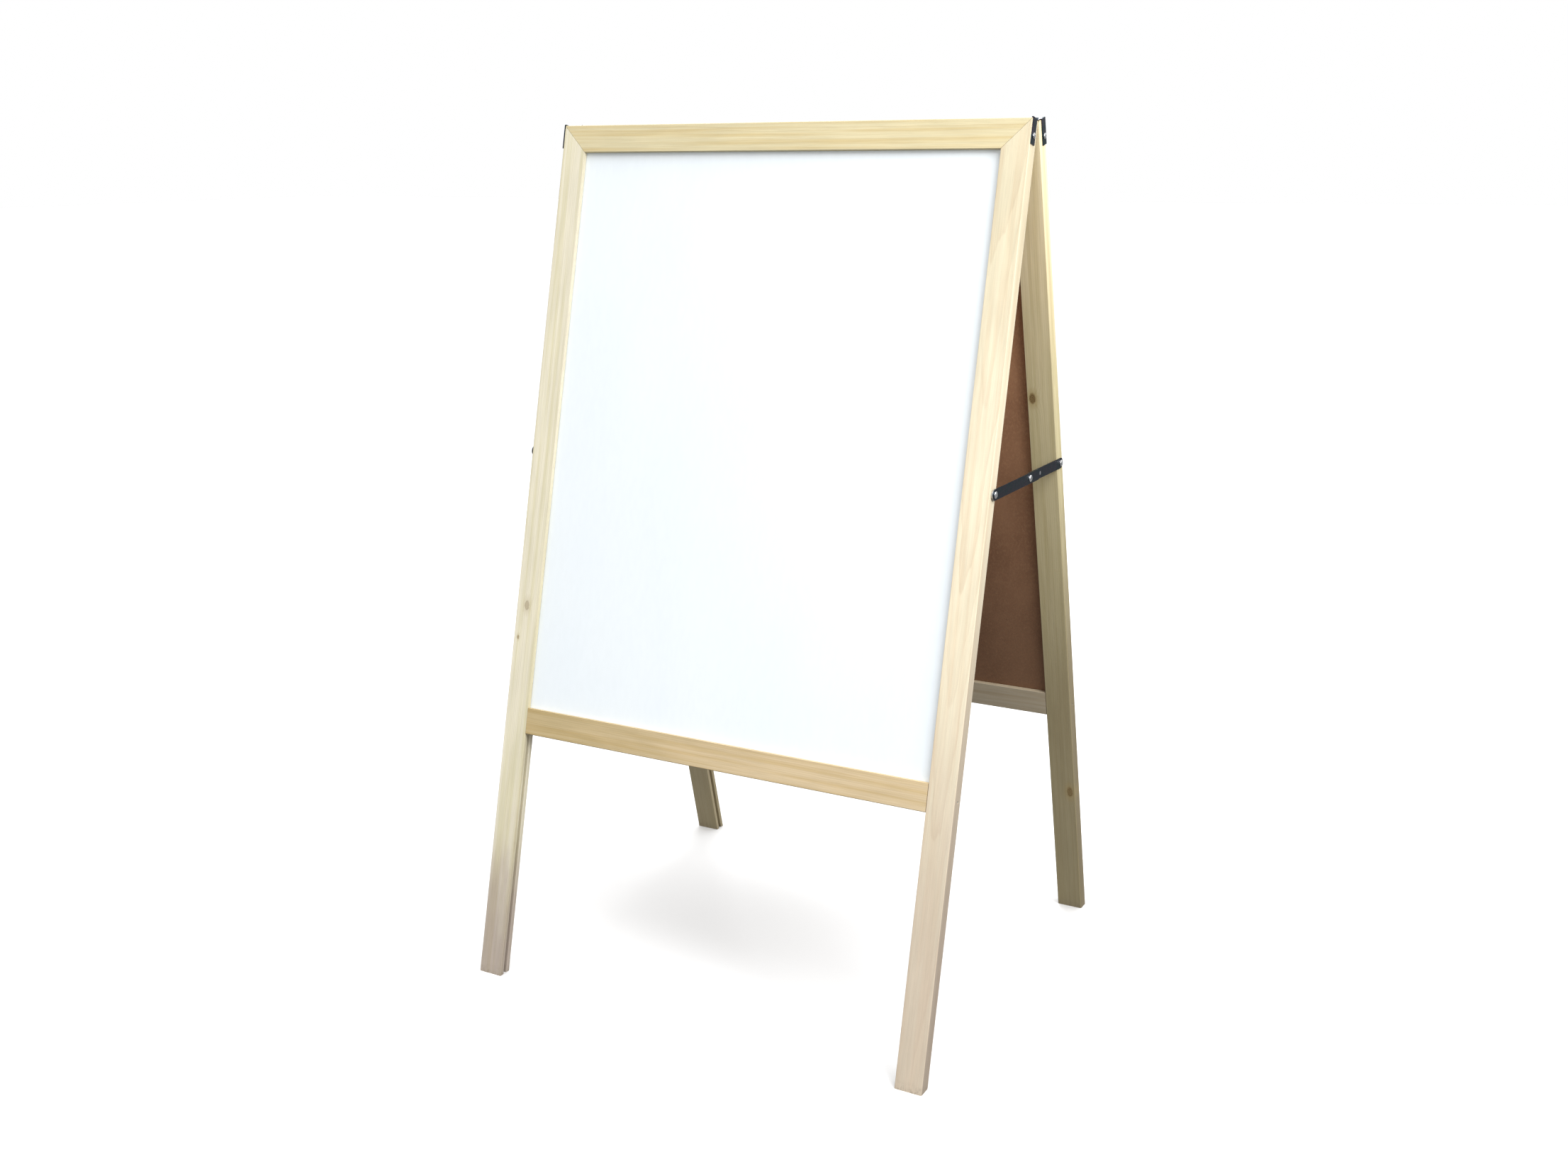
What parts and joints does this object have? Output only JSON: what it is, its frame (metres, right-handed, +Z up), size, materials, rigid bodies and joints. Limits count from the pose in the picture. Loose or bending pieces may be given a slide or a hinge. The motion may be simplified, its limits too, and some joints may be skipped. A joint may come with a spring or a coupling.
{
  "type": "kids easel",
  "caption": "Folding wooden A-frame floor easel with a white dry-erase board in front, a dark board behind, top hinges and folding side stays.",
  "frame": {"origin": "on the floor, midway between the front and rear feet and midway across the easel, with the easel standing open", "axes": "+Z up; X across the boards; the whiteboard faces -Y and the chalkboard faces +Y, each leaning back by half of the opening angle"},
  "size_m": [0.6262, 0.5472, 1.0412],
  "materials": {
    "frame_wood": "pale straight-grained solid wood, lightly sanded, clear matt finish",
    "hardboard": "bare brown hardboard, matt, faintly fibrous",
    "dry_erase_face": "glossy white dry-erase film with a faint cool tint",
    "chalkboard_face": "matt black chalkboard paint",
    "dark_steel": "dark blue-grey satin steel strip",
    "bright_steel": "bright zinc-plated steel"
  },
  "bodies": {
    "front_frame": {"front_board_core": "hardboard", "front_lower_rail": "frame_wood", "front_mitre_brad_left": "bright_steel", "front_mitre_brad_right": "bright_steel", "front_rail_brad_left": "bright_steel", "front_rail_brad_right": "bright_steel", "front_stile_left": "frame_wood", "front_stile_right": "frame_wood", "front_top_rail": "frame_wood", "front_whiteboard_face": "dry_erase_face", "left_hinge_front_leaf": "dark_steel", "left_hinge_front_screw": "bright_steel", "left_hinge_pin": "bright_steel", "left_stay_front_screw": "bright_steel", "left_stay_spacer": "bright_steel", "right_hinge_front_leaf": "dark_steel", "right_hinge_front_screw": "bright_steel", "right_hinge_pin": "bright_steel", "right_stay_front_screw": "bright_steel", "right_stay_spacer": "bright_steel"},
    "rear_frame": {"rear_board_core": "hardboard", "rear_chalkboard_face": "chalkboard_face", "rear_lower_rail": "frame_wood", "rear_mitre_brad_left": "bright_steel", "rear_mitre_brad_right": "bright_steel", "rear_rail_brad_left": "bright_steel", "rear_rail_brad_right": "bright_steel", "rear_stile_left": "frame_wood", "rear_stile_right": "frame_wood", "rear_top_rail": "frame_wood", "left_hinge_rear_leaf": "dark_steel", "left_hinge_rear_screw": "bright_steel", "left_stay_rear_screw": "bright_steel", "right_hinge_rear_leaf": "dark_steel", "right_hinge_rear_screw": "bright_steel", "right_stay_rear_screw": "bright_steel"},
    "left_front_link": {"left_stay_front_link": "dark_steel", "left_stay_rivet_head": "bright_steel"},
    "left_rear_link": {"left_stay_rear_link": "dark_steel", "left_stay_rivet_tail": "bright_steel"},
    "right_front_link": {"right_stay_front_link": "dark_steel", "right_stay_rivet_head": "bright_steel"},
    "right_rear_link": {"right_stay_rear_link": "dark_steel", "right_stay_rivet_tail": "bright_steel"}
  },
  "joints": [
    {"name": "fold", "type": "hinge", "parent": "front_frame", "child": "rear_frame", "pos_m": [0, 0, 1.03808], "axis": [-1, 0, 0], "range_deg": [0, 27.68]},
    {"name": "left_front_stay", "type": "hinge", "parent": "front_frame", "child": "left_front_link", "pos_m": [-0.3083, -0.10617, 0.64413], "axis": [1, 0, 0], "range_deg": [0, 71.43]},
    {"name": "left_rear_stay", "type": "hinge", "parent": "rear_frame", "child": "left_rear_link", "pos_m": [-0.3083, 0.10617, 0.64413], "axis": [-1, 0, 0], "range_deg": [0, 71.43]},
    {"name": "right_front_stay", "type": "hinge", "parent": "front_frame", "child": "right_front_link", "pos_m": [0.3083, -0.10617, 0.64413], "axis": [1, 0, 0], "range_deg": [0, 71.43]},
    {"name": "right_rear_stay", "type": "hinge", "parent": "rear_frame", "child": "right_rear_link", "pos_m": [0.3083, 0.10617, 0.64413], "axis": [-1, 0, 0], "range_deg": [0, 71.43]}
  ],
  "couplings": [
    {"joint": "left_front_stay", "follows": "fold", "ratio": 2.5787},
    {"joint": "left_rear_stay", "follows": "fold", "ratio": 2.5787},
    {"joint": "right_front_stay", "follows": "fold", "ratio": 2.5787},
    {"joint": "right_rear_stay", "follows": "fold", "ratio": 2.5787}
  ]
}
